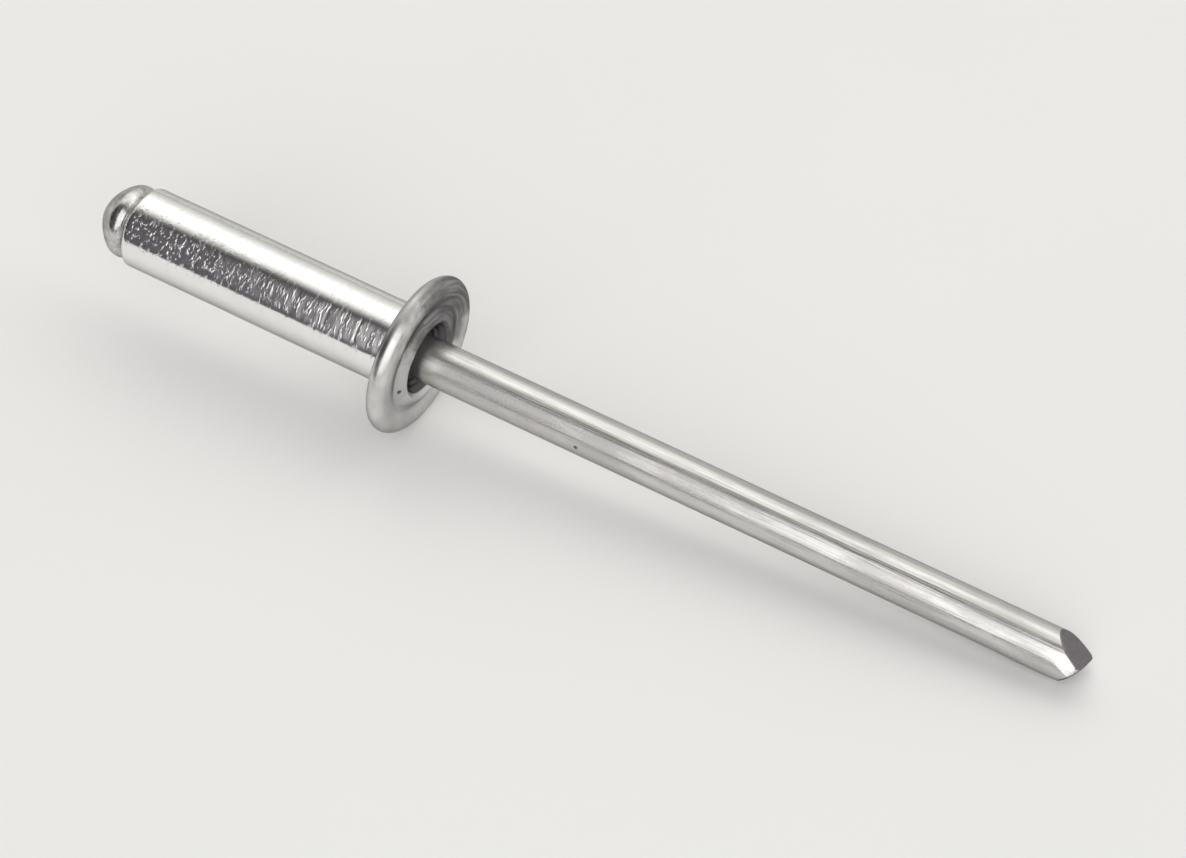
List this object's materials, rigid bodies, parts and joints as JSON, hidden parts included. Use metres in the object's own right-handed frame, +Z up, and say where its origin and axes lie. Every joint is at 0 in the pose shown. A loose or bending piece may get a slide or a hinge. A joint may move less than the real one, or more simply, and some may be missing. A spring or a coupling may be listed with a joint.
{
  "type": "blind rivet",
  "caption": "Open-end blind rivet with a domed round flange, its steel pulling stem still in place: it fastens sheets reached from one side.",
  "frame": {"origin": "centre of the bounding box's bottom face, on the floor the rivet lies on", "axes": "Z up; +X along the rivet as it lies, from the head at the blind end to the point of the stem, with the axis leaning 4.95 degrees down towards the point; Y across"},
  "size_m": [0.041, 0.0064, 0.0063],
  "materials": {
    "body": "bright cold-headed aluminium with fine forming marks",
    "stem": "drawn steel wire with fine lengthwise draw lines, darker on the cut faces of the point"
  },
  "bodies": {
    "root": {"rivet_body": "body", "mandrel": "stem"}
  },
  "joints": []
}
